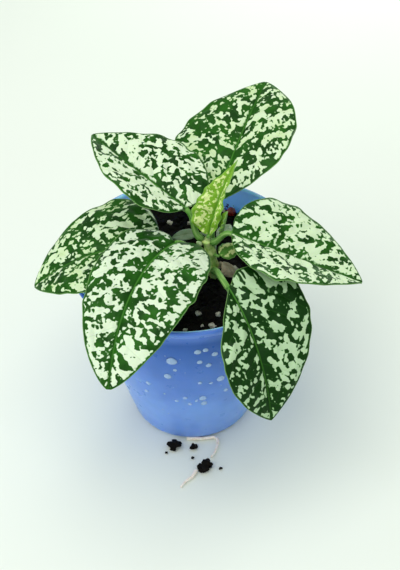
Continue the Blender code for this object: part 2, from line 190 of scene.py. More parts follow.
def mm(value):
    """A length setting in millimetres, the unit the shapes are worked out in."""
    return value / MM


# ---- shape helpers

def new_object(name, data):
    made = bpy.data.objects.new(name, data)
    bpy.context.scene.collection.objects.link(made)
    return made


def mesh_object(bm, name, *materials):
    """The bmesh, drawn in millimetres, as an object in metres."""
    bmesh.ops.scale(bm, vec=(MM, MM, MM), verts=bm.verts)
    mesh = bpy.data.meshes.new(name)
    bm.to_mesh(mesh)
    bm.free()
    for material in materials:
        mesh.materials.append(material)
    return new_object(name, mesh)


def finish_piece(bm, name, replaces, material):
    """The bmesh as a smooth piece that stands for the CAD nodes it replaces and rides on the root."""
    bmesh.ops.recalc_face_normals(bm, faces=bm.faces[:])
    for face in bm.faces:
        face.smooth = True
    piece = mesh_object(bm, name, material)
    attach(piece, "root")
    if replaces:
        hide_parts(*replaces)
    return piece


def lathe(bm, profile, sides):
    """A closed solid turned about Z from a profile of (radius, height) with both ends on the axis."""
    verts = [bm.verts.new((r, 0, z)) for r, z in profile]
    edges = [bm.edges.new(pair) for pair in zip(verts, verts[1:])]
    bmesh.ops.spin(bm, geom=verts + edges, cent=(0, 0, 0), axis=(0, 0, 1), angle=2 * pi, steps=sides,
                   use_merge=True)
    bmesh.ops.remove_doubles(bm, verts=bm.verts[:], dist=1e-4)


def bezier(a, b, c, d, t):
    return a * (1 - t) ** 3 + b * 3 * t * (1 - t) ** 2 + c * 3 * t * t * (1 - t) + d * t ** 3


def smooth_path(points, steps):
    """Points along a curve that runs through each of the given points."""
    ends = [2 * points[0] - points[1], *points, 2 * points[-1] - points[-2]]
    path = []
    for before, a, b, after in zip(ends, ends[1:], ends[2:], ends[3:]):
        for step in range(steps):
            path.append(bezier(a, a + (b - before) / 6, b - (after - a) / 6, b, step / steps))
    return path + [points[-1]]


def aheads(path):
    """The way ahead at each point of the path."""
    pairs = zip([path[0], *path[:-1]], [*path[1:], path[-1]])
    return [(after - before).normalized() for before, after in pairs]


def circle(centre, ahead, left, radius, sides):
    """A ring about the direction ahead, from the right over the top to the left and back below."""
    level = (left - ahead * left.dot(ahead)).normalized()
    above = ahead.cross(level)
    turns = [pi - (k + 0.5) * 2 * pi / sides for k in range(sides)]
    return [centre + radius * (level * cos(turn) + above * sin(turn)) for turn in turns]


# What a leaf's material reads at each point: its place for patterns, how far it is from the midrib and the
# margin in mm, the phase of the side veins, how far it is to the side and along, and whether it is on the
# stalk or the under side, from 0 to 1
SKIN = ("leaf_place", "rib_mm", "margin_mm", "vein", "side", "along", "stalk", "under")


def loft(bm, rings, values=()):
    """A closed skin over rings of points, as a grid whose long edges are joined and whose ends are capped.

    values holds, for each ring, one tuple per point of what SKIN names.
    """
    sides, steps = len(rings[0]), len(rings) - 1
    kinds = bm.verts.layers
    layers = [(kinds.float if i else kinds.float_vector).new(key) for i, key in enumerate(SKIN) if values]
    made = bmesh.ops.create_grid(bm, x_segments=steps, y_segments=sides, size=1.0)
    for vert in made["verts"]:
        step = round((vert.co.x + 1) / 2 * steps)
        side = round((vert.co.y + 1) / 2 * sides) % sides
        vert.co = rings[step][side]
        for i, layer in enumerate(layers):
            vert[layer] = values[step][side][i]
    bmesh.ops.remove_doubles(bm, verts=made["verts"], dist=1e-6)
    bmesh.ops.holes_fill(bm, edges=[edge for edge in bm.edges if edge.is_boundary], sides=0)


def direction(heading, rise):
    a, e = radians(heading), radians(rise)
    return Vector((cos(e) * cos(a), cos(e) * sin(a), sin(e)))


def smoothstep(low, high, value):
    t = min(1.0, max(0.0, (value - low) / (high - low)))
    return t * t * (3 - 2 * t)


# ---- leaf shape

STOPS = 112
ACROSS = 28
STALK_RINGS = 16
BASE_TRIM, TIP_TRIM = 0.001, 0.004
NOTCH_MM, NOTCH_SHARE = 3.2, 0.025
VEIN_SLANT, VEIN_SWEEP = 0.55, 0.014
VEIN_RIDGE, VEIN_WIDTH = 0.22, 1.2
RIB_HEIGHT, RIB_WIDTH = 1.25, 0.9
GROOVE_DEPTH, GROOVE_WIDTH = 0.5, 0.55


def share(s, swell, taper):
    """The half width at s of the length, as a share of the widest."""
    peak = swell / (swell + taper)
    return (s / peak) ** swell * ((1 - s) / (1 - peak)) ** taper


def midrib(leaf, stops):
    """At each stop along the midrib: its point, the way ahead, and the axes to the left and above."""
    point, at, found = Vector(leaf.base), 0.0, []
    for s in stops:
        half = (s + at) / 2
        way = direction(leaf.heading + leaf.turn * half, leaf.rise + leaf.droop * half)
        point += way * leaf.length * (s - at)
        at = s
        ahead = direction(leaf.heading + leaf.turn * s, leaf.rise + leaf.droop * s)
        yaw = radians(leaf.heading + leaf.turn * s)
        level = Vector((-sin(yaw), cos(yaw), 0))
        above = ahead.cross(level)
        tilt = radians(leaf.bank + leaf.twist * s)
        found.append((point.copy(), ahead, level * cos(tilt) + above * sin(tilt),
                      above * cos(tilt) - level * sin(tilt)))
    return found


def half_of(leaf, v):
    if v > 0:
        return leaf.width_left / 2, leaf.swell_left, leaf.lobe_left
    return leaf.width_right / 2, leaf.swell_right, leaf.lobe_right


def blade_point(leaf, place, s, v):
    """The middle of the blade at s along and v across, its way from midrib and margin, and its breadth."""
    point, ahead, left, above = place
    width, swell, lobe = half_of(leaf, v)
    inner = BASE_TRIM + (1 - BASE_TRIM - TIP_TRIM) * s
    notches = noise.noise(Vector((s * leaf.length / NOTCH_MM, 4.0 if v > 0 else 8.0, leaf.length)))
    full = width * share(inner, swell, leaf.taper) * (1 + NOTCH_SHARE * notches * min(1.0, 6 * s * (1 - s)))
    reach = full * abs(v)
    lift = radians(leaf.fold - leaf.curl * abs(v))
    side = 1 if v > 0 else -1
    back = lobe * (1 - s) ** 3 * v * v * min(1.0, 4 * full / width)
    moved = point + reach * (cos(lift) * side * left + sin(lift) * above) - back * ahead
    return moved, reach, full - reach, full / width


def vein_phase(leaf, s, reach, v):
    """Whole numbers of it lie on the side veins, which leave the midrib at a slant and sweep forward."""
    run = s - (VEIN_SLANT * reach + VEIN_SWEEP * reach * reach) / leaf.length
    return run * leaf.pairs + (0.5 if v < 0 else 0.0)


def from_vein(phase):
    """How far this phase is from a side vein: 0 on one, 1 halfway to the next."""
    return 2 * abs(phase - floor(phase + 0.5))


def relief(leaf, s, v, reach, broad, phase, size):
    """Height of the upper side: sunken midrib and side veins, and the pillows between them."""
    fade = min(1.0, reach / (0.06 * leaf.length)) * smoothstep(1.0, 0.75, abs(v)) * broad
    pillow = mm(settings().vein_depth) * size * (1 - (1 - from_vein(phase)) ** 2.6) * 1.6 * fade
    groove = GROOVE_DEPTH * size * exp(-(reach / (GROOVE_WIDTH * size)) ** 2) * (1 - 0.7 * s)
    flat = Vector((s * leaf.length, v * leaf.width_left / 2, leaf.length))
    wave = 3.0 * leaf.ripple * noise.noise(flat * 0.14) * abs(v) ** 2 * broad
    turn = 2 * pi * (leaf.pairs * s * 0.8 + 0.3 * v) + leaf.length
    wave += 0.6 * leaf.ripple * sin(turn) * abs(v) ** 4 * broad
    puckers = leaf.pucker * size * (0.5 * noise.noise(flat * 0.3) + 0.2 * noise.noise(flat * 0.8))
    return pillow - groove + wave + puckers * fade


def leaf_sections(leaf, stops_count, across):
    """Rings across the blade and what the leaf's material reads at each point of them."""
    size = min(1.0, leaf.length / 30)
    thick = mm(settings().blade) * (0.6 + 0.4 * size)
    stops = [0.5 - 0.5 * cos(pi * k / stops_count) for k in range(stops_count + 1)]
    steps = [k / across for k in range(-across, across + 1)]
    spread = [t * (0.55 + 0.45 * abs(t)) for t in steps]
    rings, values = [], []
    for s, place in zip(stops, midrib(leaf, stops)):
        above = place[3]
        upper, under, seen_above, seen_below = [], [], [], []
        for v in spread:
            middle, reach, margin, broad = blade_point(leaf, place, s, v)
            phase = vein_phase(leaf, s, reach, v)
            bump = relief(leaf, s, v, reach, broad, phase, size)
            edge = thick * (0.5 - 0.3 * abs(v) ** 10)
            rib = leaf.stalk * RIB_HEIGHT * (1 - 0.85 * s) * exp(-(reach / (RIB_WIDTH * leaf.stalk)) ** 2)
            off_vein = from_vein(phase) * leaf.length / leaf.pairs
            ridge = VEIN_RIDGE * size * exp(-(off_vein / VEIN_WIDTH) ** 2) * (1 - abs(v) ** 3) * broad
            upper.append(middle + above * (edge + bump))
            under.append(middle - above * (edge + rib + ridge - bump))
            slant = s * leaf.length + 0.25 * abs(v) * reach
            # Turned so that X runs roughly along the side veins, and set apart in Z on the two halves
            apart = 9.0 if v < 0 else 0.0
            drawn_at = Vector((0.77 * slant + 0.64 * reach, 0.77 * reach - 0.64 * slant, apart))
            seen = (drawn_at, reach, margin, phase, v, s, 0.0)
            seen_above.append((*seen, 0.0))
            seen_below.append((*seen, 1.0))
        rings.append(upper + under[::-1])
        values.append(seen_above + seen_below[::-1])
    return rings, values


def stalk_sections(leaf, sides):
    """Round rings from the stem to the foot of the blade."""
    base, ahead = Vector(leaf.base), direction(leaf.heading, leaf.rise)
    _, _, left, above = midrib(leaf, [0.0])[0]
    foot = base - ahead * 0.35 - above * leaf.stalk * 0.6
    if leaf.attach:
        node = Vector(leaf.attach)
        out = Vector((base.x - node.x, base.y - node.y, 0)).normalized()
        leave = (out + Vector((0, 0, 0.7))).normalized()
        start = node + out * (STEM_RADII[2] + STALK_GAP + leaf.stalk * leave.z)
        pull = (foot - start).length / 3
        path = [bezier(start, start + leave * pull, foot - ahead * pull, foot, i / STALK_RINGS)
                for i in range(STALK_RINGS + 1)]
        path[0] -= leave * (STALK_GAP + leaf.stalk * leave.z)
    else:
        path = [foot - ahead * 0.8, foot]
    last = len(path) - 1
    rings, values = [], []
    for i, (point, way) in enumerate(zip(path, aheads(path))):
        radius = leaf.stalk * (1.12 - 0.2 * i / last + 0.25 * (1 - i / last) ** 6)
        rings.append(circle(point, way, left, radius, sides))
        run = (point - base).length
        turns = [2 * pi * k / sides for k in range(sides)]
        values.append([(Vector((-run, 2 * cos(turn), 2 * sin(turn))), 0.0, 9.0, 0.5, cos(turn), 0.0, 1.0,
                        0.5 - 0.5 * sin(turn)) for turn in turns])
    return rings, values


def build_leaf(leaf, material, stops=STOPS, across=ACROSS):
    blade, blade_values = leaf_sections(leaf, stops, across)
    stalk, stalk_values = stalk_sections(leaf, len(blade[0]))
    bm = bmesh.new()
    loft(bm, stalk + blade, stalk_values + blade_values)
    return finish_piece(bm, leaf.name + "_grown", [leaf.name], material)


# ---- materials

def rgba(color):
    """A hex value or a linear colour, with full alpha."""
    return (*(linear(color) if isinstance(color, str) else color), 1.0)


def add_node(tree, kind, inputs=(), **choices):
    """A shader node of this kind, with choices as its settings.

    inputs go by name, or as a list in the node's own order, which for MapRange is the value, where it starts
    and ends, and what it gives there. Each is a value, a hex colour, the socket to link from or a node,
    whose first output in use is linked.
    """
    node = tree.nodes.new("ShaderNode" + kind)
    for key, value in choices.items():
        setattr(node, key, value)
    for key, value in inputs.items() if isinstance(inputs, dict) else enumerate(inputs):
        if isinstance(value, bpy.types.Node):
            value = next(socket for socket in value.outputs if socket.enabled)
        if isinstance(value, bpy.types.NodeSocket):
            tree.links.new(value, node.inputs[key])
        else:
            node.inputs[key].default_value = rgba(value) if isinstance(value, str) else value
    return node


def new_material(name, attribute=None):
    """A node material, add_node for its tree, and the place its patterns are drawn at.

    That is the point on the object, or this attribute of its mesh.
    """
    material = bpy.data.materials.new(name)
    material.use_nodes = True
    material.node_tree.nodes.clear()
    add = partial(add_node, material.node_tree)
    if attribute:
        return material, add, add("Attribute", attribute_name=attribute).outputs["Vector"]
    return material, add, add("TexCoord").outputs["Object"]


def finished(material, add, color, roughness, others=None):
    """The material, closed with one Principled shader that has these inputs."""
    inputs = {"Base Color": color, "Roughness": roughness, **(others or {})}
    add("OutputMaterial", {"Surface": add("BsdfPrincipled", inputs)})
    return material


def painted(add, color, *coats):
    """The colour with each coat laid over it in turn, given as how much of it covers and its own colour."""
    for cover, coat in coats:
        color = add("Mix", {0: cover, 6: color, 7: coat}, data_type="RGBA")
    return color


def patches(add, where, size, detail, start, end, least=0.0, most=1.0):
    """Soft patches of this size: the least where their noise is at start and the most where it is at end."""
    wave = add("TexNoise", {"Vector": where, "Scale": 1 / size, "Detail": detail})
    return add("MapRange", [wave, start, end, least, most])


# How each leaf is splashed. cover is how much of it is pale, and left, tip and rib shift that towards the
# left half, the tip and the midrib. blotch is the size of the broad paler and greener swings and cell that
# of the patches of the mosaic, in mm. stretch draws both out along the side veins, seed moves the pattern,
# and dark and pale stand in for the settings' green and white.
Splash = namedtuple("Splash", "cover left tip rib blotch cell stretch seed dark pale", defaults=[None, None])
SPLASHES = {
    "back_right": Splash(-0.05, -0.06, 0, -0.12, 6, 1.5, 1.7, 3),
    "back_left": Splash(0.04, 0, 0.03, -0.06, 6, 1.45, 1.4, 11, None, "#D6E8C9"),
    "left": Splash(-0.06, 0.05, 0, -0.2, 6, 1.6, 1.2, 23),
    "front_left": Splash(0.09, 0.02, -0.03, -0.25, 6, 1.35, 1.8, 37, None, "#D2E3C9"),
    "right": Splash(0.08, -0.02, 0, -0.06, 6, 1.35, 1.7, 41, None, "#CDE3BE"),
    # Painted shade: the front right leaf's green and white are darker than the others', standing in for the
    # shade on that leaf, which faces away from the light
    "front_right": Splash(-0.04, 0.03, -0.05, -0.16, 6, 1.5, 1.8, 59, "#063400", "#B0CDA6"),
    "young": Splash(0, 0, 0, 0, 4, 0.75, 1.3, 71, "#78A82E", "#D2E398"),
    "small": Splash(0.1, 0, 0, 0, 3, 1.2, 1, 83, "#4F8030", "#C6D490"),
}
# How far from the midrib its greener bed reaches, in mm, on most leaves and on those named
RIB_BED = 2.2
WIDE_RIB_BEDS = {"front_left": 4.5, "front_right": 3.0, "left": 4.0}
BEAD_MM, BEAD_WEIGHT = 1.3, 0.6
SWING_WEIGHT, SPECK_WEIGHT, SPECK_MM = 0.45, 0.2, 0.8
# The sum of the pattern's parts where half of a leaf is pale
EVEN_SHARE = (1 + SWING_WEIGHT + SPECK_WEIGHT) / 2


def leaf_material(name):
    """Living leaf skin of a hypoestes: dark green with chlorophyll-free splashes and a thin satin wax."""
    splash = SPLASHES[name]
    material, add, place = new_material("splashed_leaf_" + name, SKIN[0])
    read = {key: add("Attribute", attribute_name=key).outputs["Fac"] for key in SKIN[1:]}
    drawn = add("Mapping", {"Vector": place, "Location": (splash.seed, splash.seed * 0.7, splash.seed),
                            "Scale": (1 / splash.stretch, 1.0, 1.0)})
    # The skin is a mosaic of small patches, each pale or green by chance, that run together where alike
    stir = add("TexNoise", {"Vector": drawn, "Scale": 1 / 0.9, "Detail": 2.0}).outputs["Color"]
    stir = add("VectorMath", [stir, (0.5, 0.5, 0.5)], operation="SUBTRACT")
    stirred = add("VectorMath", [stir, (0.9, 0.9, 0.9), drawn], operation="MULTIPLY_ADD")
    mosaic = add("TexVoronoi", {"Vector": stirred, "Scale": 1 / splash.cell, "Smoothness": 0.5},
                 feature="SMOOTH_F1").outputs["Color"]
    parts = [(add("SeparateColor", {"Color": mosaic}), 1.0)]
    # Their outlines are scalloped by beads of either colour, each about a millimetre across
    for shift, weight in (((0.0, 0.0, 0.0), -BEAD_WEIGHT), ((31.7, 17.3, 5.1), BEAD_WEIGHT)):
        at = add("VectorMath", [place, shift])
        beads = add("TexVoronoi", {"Vector": at, "Scale": 1 / min(BEAD_MM, splash.cell), "Smoothness": 0.3},
                    feature="SMOOTH_F1")
        parts.append((beads, weight))
    for size, weight in ((splash.blotch, SWING_WEIGHT), (SPECK_MM, SPECK_WEIGHT)):
        parts.append((add("TexNoise", {"Vector": drawn, "Scale": 1 / size, "Detail": 1.0}), weight))
    reach = WIDE_RIB_BEDS.get(name, RIB_BED)
    bed = add("MapRange", [read["rib_mm"], 0.5, reach, splash.rib, 0.0])
    fades = add("MapRange", [read["along"], 0.35, 0.85, 1.0, 0.25])
    near_rib = add("Math", [bed, fades], operation="MULTIPLY")
    parts += [(near_rib, 1.0), (read["side"], splash.left), (read["along"], splash.tip)]
    value = 0.0
    for part, weight in parts:
        value = add("Math", [part, weight, value], operation="MULTIPLY_ADD")
    edge = EVEN_SHARE - splash.cover
    pattern = add("MapRange", [value, edge - 0.09, edge + 0.07],
                  interpolation_type="SMOOTHSTEP")
    # A green line along the margin, and the midrib in a narrow green bed
    uneven = patches(add, place, 1.4, 1.0, 0.0, 1.0, 0.75, -0.75)
    for key, start, end in (("margin_mm", 0.55, 0.95), ("rib_mm", 0.4, 0.85)):
        near = add("Math", [read[key], uneven])
        hem = add("MapRange", [near, start, end])
        pattern = add("Math", [pattern, hem], operation="MULTIPLY")
    # Each colour wanders a little over the leaf, and a brighter green fringes the patches
    drift = patches(add, place, 7.0, 3.0, 0.35, 0.65)
    deep = painted(add, splash.dark or rgba(settings().leaf_green), (drift, splash.dark or "#205E08"))
    light = painted(add, splash.pale or rgba(settings().leaf_white), (drift, splash.pale or "#C2DAA6"))
    fringe = painted(add, "#3C8A1C", (0.35, light))
    low = add("MapRange", [pattern, 0.1, 0.5])
    high = add("MapRange", [pattern, 0.5, 0.9])
    # Veins show as thin paler green lines, and the paler line along the very margin is a painted highlight,
    # where the leaf's edge catches the light
    fraction = add("Math", [read["vein"], 1.0], operation="PINGPONG")
    fraction = add("Math", [fraction, 0.5], operation="SUBTRACT")
    fraction = add("Math", [fraction], operation="ABSOLUTE")
    lines = add("MapRange", [fraction, 0.46, 0.5, 0.0, 0.14])
    cord = add("MapRange", [read["rib_mm"], 0.34, 0.12, 0.0, 0.8])
    thin = add("MapRange", [read["along"], 0.0, 1.0, 1.0, 0.1])
    cord = add("Math", [cord, thin], operation="MULTIPLY")
    # Painted highlight: a paler green along the leaf's very edge
    painted_edge_highlight = add("MapRange", [read["margin_mm"], 0.3, 0.12, 0.0, 0.6])
    # The under side is a dull grey green that the splashes show through, and the stalk is streaked
    veil = add("Math", [read["under"], 0.6], operation="MULTIPLY")
    lengthwise = add("VectorMath", [place, (0.2, 1.0, 1.0)], operation="MULTIPLY")
    stalk = painted(add, "#4F8A34", (patches(add, lengthwise, 1 / 0.9, 2.0, 0.4, 0.65), "#8DB468"))
    color = painted(add, deep, (low, fringe), (high, light), (lines, "#3F8526"), (cord, "#4F9332"),
                    (painted_edge_highlight, "#7FAE62"), (veil, "#86A876"), (read["stalk"], stalk))
    # Skin cells: a fine grain under the wax, drawn at a third of a millimetre so that it shows
    grain = add("TexNoise", {"Vector": place, "Scale": 1 / 0.35, "Detail": 2.0})
    height = add("Math", [pattern, 0.5, grain], operation="MULTIPLY_ADD")
    bump = add("Bump", {"Height": height, "Strength": 0.3, "Distance": 0.12 * MM})
    rough = add("MapRange", [grain, 0.0, 1.0, 0.42, 0.6])
    return finished(material, add, color, rough, {
        "Normal": bump, "IOR": 1.42, "Specular IOR Level": 0.2, "Subsurface Weight": 0.12,
        "Subsurface Radius": (0.4, 0.6, 0.15), "Subsurface Scale": 1.2 * MM,
    })


def plain_plant_material(name, base, other, size_mm, roughness, bump_mm):
    """Plain plant skin: two greens or browns that wander over each other, with a soft uneven surface."""
    material, add, where = new_material(name)
    color = painted(add, base, (patches(add, where, size_mm * MM, 3.0, 0.35, 0.65), other))
    fine = add("TexNoise", {"Vector": where, "Scale": 3 / (size_mm * MM), "Detail": 2.0})
    bump = add("Bump", {"Height": fine, "Strength": 0.5, "Distance": bump_mm * MM})
    return finished(material, add, color, roughness, {
        "Normal": bump, "IOR": 1.42, "Subsurface Weight": 0.1, "Subsurface Scale": 1 * MM,
    })


# How far inside the outer wall the cone starts that parts the pot's inner skin from its outer one, in mm
SKIN_DEPTH = 0.8


def pot_material():
    """Injection-moulded blue polypropylene: a soft gloss, faint flow marks and soil dust inside, with
    painted shade on the upper outer wall and painted light on the inner skin.
    """
    plan = settings()
    material, add, where = new_material("moulded_polypropylene")
    z = add("SeparateXYZ", {"Vector": where}).outputs["Z"]
    flow = patches(add, where, 14 * MM, 3.0, 0.3, 0.7)
    # Which side of the wall this is
    level = add("VectorMath", [where, (1.0, 1.0, 0.0)], operation="MULTIPLY")
    radius = add("VectorMath", [level], operation="LENGTH")
    cone = add("Math", [z, (plan.rim_radius - plan.base_radius) / plan.pot_height,
                        plan.base_radius - SKIN_DEPTH * MM], operation="MULTIPLY_ADD")
    inside = add("Math", [radius, cone], operation="LESS_THAN")
    # Painted shade: the blue of the outer wall deepens towards its top, up to the soil's top, standing in
    # for the shade of the leaves overhead, and eases off on the rim
    painted_shade = add("MapRange", [z, 18 * MM, 62 * MM, 0.0, 0.95])
    outside = add("Math", [1.0, inside], operation="SUBTRACT")
    painted_shade = add("Math", [painted_shade, outside], operation="MULTIPLY")
    shade_eased_at_rim = add("MapRange", [z, 61 * MM, 66 * MM, 1.0, 0.35])
    painted_shade = add("Math", [painted_shade, shade_eased_at_rim], operation="MULTIPLY")
    # Specks of soil stuck to the inner wall just above the soil, about half a millimetre across
    dust = add("TexNoise", {"Vector": where, "Scale": 1 / (1.4 * MM), "Detail": 3.0, "Roughness": 0.7})
    low = add("MapRange", [z, 60.5 * MM, 64.5 * MM, 0.54, 0.85])
    dust = add("Math", [dust, low], operation="GREATER_THAN")
    dust = add("Math", [dust, inside], operation="MULTIPLY")
    # Painted light: the inner skin is a paler blue, standing in for light shining through the thin wall; the
    # painted shade darkens the upper outer wall
    color = painted(add, rgba([c * 0.78 for c in plan.pot_blue]), (flow, rgba(plan.pot_blue)),
                    (inside, "#A0D4FF"), (painted_shade, "#0C52A8"), (dust, "#17130E"))
    film = patches(add, where, 5 * MM, 3.0, 0.0, 1.0, 0.2, 0.42)
    rough = add("Math", [dust, 0.4, film], operation="MULTIPLY_ADD")
    grain = add("TexNoise", {"Vector": where, "Scale": 1 / (0.5 * MM), "Detail": 2.0})
    bump = add("Bump", {"Height": grain, "Strength": 0.12, "Distance": 0.08 * MM})
    return finished(material, add, color, rough, {
        "Normal": bump, "IOR": 1.49, "Subsurface Weight": 0.85, "Subsurface Radius": (0.25, 0.5, 1.0),
        "Subsurface Scale": 3.0 * MM, "Specular IOR Level": 0.15, "Coat Weight": 0.05,
        "Coat Roughness": 0.08,
    })


def soil_material(name="damp_potting_soil"):
    """Damp peat: near black, with brown fibres and crumbs, and hardly any shine."""
    material, add, where = new_material(name)
    crumbs = add("TexVoronoi", {"Vector": where, "Scale": 1 / (1.1 * MM)}).outputs["Color"]
    tones = add("ValToRGB", {"Fac": add("SeparateColor", {"Color": crumbs})})
    stops = tones.color_ramp.elements
    stops[0].position, stops[0].color = 0.0, rgba("#020201")
    stops[1].position, stops[1].color = 1.0, rgba("#140E09")
    stops.new(0.72).color = rgba("#060504")
    fibre = add("TexNoise", {"Vector": where, "Scale": 1 / (0.7 * MM), "Detail": 4.0, "Roughness": 0.7})
    spread = add("MapRange", [fibre, 0.56, 0.7, 0.0, 0.5])
    bump = add("Bump", {"Height": fibre, "Strength": 0.8, "Distance": 0.5 * MM})
    rough = add("MapRange", [fibre, 0.0, 1.0, 0.6, 0.95])
    color = painted(add, tones, (spread, "#1C150F"))
    return finished(material, add, color, rough, {"Normal": bump, "Specular IOR Level": 0.15})


def perlite_material():
    """Expanded volcanic glass: chalky white grains with tiny pits and a little soil in them."""
    material, add, where = new_material("expanded_perlite")
    pits = add("TexVoronoi", {"Vector": where, "Scale": 1 / (0.35 * MM)})
    dirt = patches(add, where, 0.9 * MM, 3.0, 0.5, 0.75, 0.0, 0.8)
    bump = add("Bump", {"Height": pits, "Strength": 0.7, "Distance": 0.15 * MM})
    return finished(material, add, painted(add, "#CFCBBE", (dirt, "#5E4E3B")), 0.92, {"Normal": bump})


def prill_material():
    """Resin-coated fertiliser bead: dark red, satin, with a worn paler patch here and there."""
    material, add, where = new_material("coated_prill")
    wear = add("TexNoise", {"Vector": where, "Scale": 1 / (0.9 * MM), "Detail": 3.0})
    spread = add("MapRange", [wear, 0.45, 0.75])
    bump = add("Bump", {"Height": wear, "Strength": 0.3, "Distance": 0.1 * MM})
    color = painted(add, "#7A100E", (spread, "#9A2A22"))
    return finished(material, add, color, 0.35, {"Normal": bump, "Coat Weight": 0.4, "Coat Roughness": 0.2})


def water_material():
    """Tap water standing in beads: partly clear, so it bends the blue behind it, and partly a pale milky
    blue that is painted light for the brightness the drops gather; it holds one bright highlight.
    """
    material, add, where = new_material("water_bead")
    rough = patches(add, where, 6 * MM, 2.0, 0.0, 1.0, 0.0, 0.04)
    # Painted light: the pale blue base colour stands in for the light gathered in the drops
    return finished(material, add, "#AED2FF", rough, {
        "IOR": 1.333, "Transmission Weight": 0.35, "Coat Weight": 1.0, "Coat Roughness": 0.02,
    })


def floor_material():
    """Matt painted studio board, pale and faintly green."""
    material, add, where = new_material("painted_board")
    tone = add("TexNoise", {"Vector": where, "Scale": 1 / (120 * MM), "Detail": 2.0})
    white = settings().floor_white
    color = painted(add, rgba(white), (tone, rgba([c * 0.96 for c in white])))
    return finished(material, add, color, 0.9)


# ---- pot and soil

POT_SIDES = 144
RIM_LIP, RIM_BAND = 0.5, 3.0
BASE_THICKNESS, BASE_FILLET = 1.6, 3.0
DRAIN_HOLE_RADIUS, DRAIN_HOLE_PITCH_RADIUS = 3.0, 10.5


def wall_radius(height):
    plan = settings()
    base = mm(plan.base_radius)
    return base + (mm(plan.rim_radius) - RIM_LIP - base) * height / mm(plan.pot_height)


def inner_radius(height):
    return wall_radius(height) - mm(settings().wall)


def arc(centre, radius, start, end, steps):
    turns = [radians(start + (end - start) * i / steps) for i in range(steps + 1)]
    return [(centre[0] + radius * cos(turn), centre[1] + radius * sin(turn)) for turn in turns]


def pot_profile():
    """Half the pot's section: underside, rounded foot, tapered wall, banded rim and the inside."""
    top = mm(settings().pot_height)
    rim = mm(settings().rim_radius)
    band = top - RIM_BAND
    foot = wall_radius(BASE_FILLET)
    profile = [(0, 0), (6, 0), (12, 0)]
    profile += arc((wall_radius(0) - BASE_FILLET + 0.6, BASE_FILLET), BASE_FILLET, -90, -12, 8)
    profile += [(foot + 0.15, BASE_FILLET + 0.9)]
    profile += [(wall_radius(z), z) for z in (8, 16, 24, 32, 40, 48, 56, band - 1.0)]
    profile += [(wall_radius(band), band - 0.1), (wall_radius(band) + RIM_LIP * 0.6, band + 0.05),
                (wall_radius(band) + RIM_LIP, band + 0.35), (rim - 0.08, top - 1.2)]
    profile += arc((rim - 0.85, top - 0.85), 0.85, 0, 180, 10)
    profile += [(inner_radius(z), z) for z in (top - 3, 60, 50, 40, 30, 20, 10, BASE_THICKNESS + 2)]
    profile += [(inner_radius(BASE_THICKNESS) - 0.5, BASE_THICKNESS + 0.5),
                (inner_radius(BASE_THICKNESS) - 1.8, BASE_THICKNESS)]
    profile += [(radius, BASE_THICKNESS) for radius in (12, 6, 0)]
    return profile


def drain_cutter():
    """The four round drain holes of the base, as one shape."""
    cutter = bmesh.new()
    for i in range(4):
        hole = bmesh.ops.create_cone(cutter, cap_ends=True, segments=32, radius1=DRAIN_HOLE_RADIUS,
                                     radius2=DRAIN_HOLE_RADIUS, depth=6.0)
        turn = Matrix.Rotation(pi / 4 + i * pi / 2, 4, "Z")
        place = turn @ Matrix.Translation((DRAIN_HOLE_PITCH_RADIUS, 0, 0))
        bmesh.ops.transform(cutter, matrix=place, verts=hole["verts"])
    return mesh_object(cutter, "drain_cutter")


def cut_and_apply(piece, cutter):
    """Cuts the piece for good and removes the cutter."""
    boolean = piece.modifiers.new("Drain", "BOOLEAN")
    boolean.operation = "DIFFERENCE"
    boolean.solver = "EXACT"
    boolean.object = cutter
    graph = bpy.context.evaluated_depsgraph_get()
    done = bpy.data.meshes.new_from_object(piece.evaluated_get(graph))
    piece.modifiers.clear()
    piece.data = done
    bpy.data.objects.remove(cutter, do_unlink=True)
    done.shade_smooth()
    done.set_sharp_from_angle(angle=radians(38))


# Size and height of the soil's broad swells, of its clods and of the crumbs on them, in mm
SWELL, CLOD, CRUMB = (7.0, 1.3), (2.6, 0.9), (0.9, 0.35)
HEAP = 0.25


def soil_height(x, y):
    """Height of the soil's uneven top at this place."""
    at = Vector((x, y, 3.0))
    swell = noise.noise(at / SWELL[0]) * SWELL[1]
    clods = noise.noise(at / CLOD[0] + Vector((9.0, 2.0, 0.0))) * CLOD[1]
    crumbs = noise.noise(at / CRUMB[0]) * CRUMB[1]
    return mm(settings().soil_top) + HEAP + swell + clods + crumbs


def lump(bm, centre, half, unevenness, seed, level, turn=0.0):
    """A rounded, uneven lump added to the bmesh: a ball of triangles with its points pushed in and out."""
    ball = bmesh.ops.create_icosphere(bm, subdivisions=level, radius=1.0)
    offset = Vector((seed * 7.1, seed * 3.3, 0.0))
    spin = Quaternion((0, 0, 1), turn)
    for vert in ball["verts"]:
        push = 1 + unevenness * noise.noise(vert.co * 1.3 + offset)
        if level > 2:
            push += unevenness * 0.35 * noise.noise(vert.co * 3.6 + offset)
        vert.co = Vector(centre) + spin @ Vector([a * b * push for a, b in zip(vert.co, half)])


def nodes_named(start):
    return sorted(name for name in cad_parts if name.startswith(start))


def middle_and_half(node):
    low, high = [Vector(corner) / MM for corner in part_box(node)]
    return (low + high) / 2, (high - low) / 2


class PLANT_OT_pot(bpy.types.Operator):
    """Turn the pot, cut its drain holes and give it its plastic"""

    bl_idname = "plant.pot"
    bl_label = "Pot"

    def execute(self, context):
        bm = bmesh.new()
        lathe(bm, pot_profile(), POT_SIDES)
        pot = finish_piece(bm, "nursery_pot", ["pot"], pot_material())
        cut_and_apply(pot, drain_cutter())
        return {"FINISHED"}


